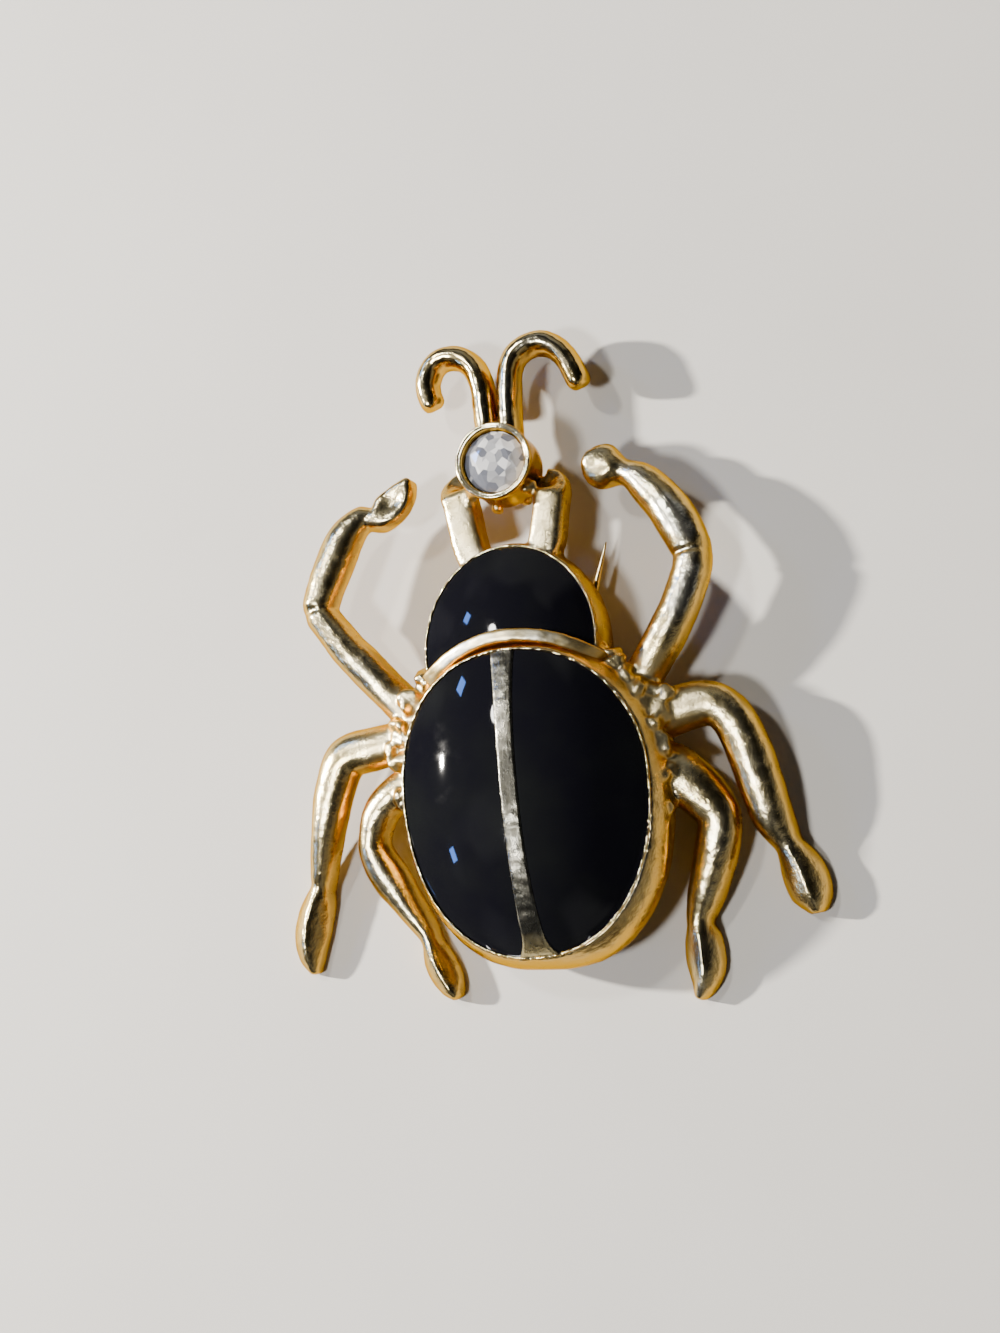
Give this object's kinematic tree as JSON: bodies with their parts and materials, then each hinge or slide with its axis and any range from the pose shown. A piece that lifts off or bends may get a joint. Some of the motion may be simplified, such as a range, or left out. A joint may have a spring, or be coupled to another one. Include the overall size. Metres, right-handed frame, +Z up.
{
  "type": "brooch",
  "caption": "Beetle-shaped brooch: gilded casting with legs and antennae, black enamel, a bezel-set clear stone, and a hinged pin with a catch on its hollow back.",
  "frame": {"origin": "bottom centre of the bounding box, on the table that the brooch lies on", "axes": "+X to the beetle's right in plan, +Y towards its head, +Z up from the table"},
  "size_m": [0.0372, 0.0457, 0.0089],
  "materials": {
    "gold": "cast, gilded and polished",
    "enamel": "deep gloss enamel",
    "stone": "faceted and polished",
    "wire": "gilded wire"
  },
  "bodies": {
    "brooch": {"casting": "gold", "enamel_shield": "enamel", "enamel_wing_left": "enamel", "enamel_wing_right": "enamel", "stone": "stone", "hinge_rivet": "wire"},
    "pin": {"pin_stem": "wire"}
  },
  "joints": [
    {"name": "pin_hinge", "type": "hinge", "parent": "brooch", "child": "pin", "pos_m": [-0.00185, -0.01542, 0.00125], "axis": [-0.9426, 0.3338, 0], "range_deg": [0, 75]}
  ]
}
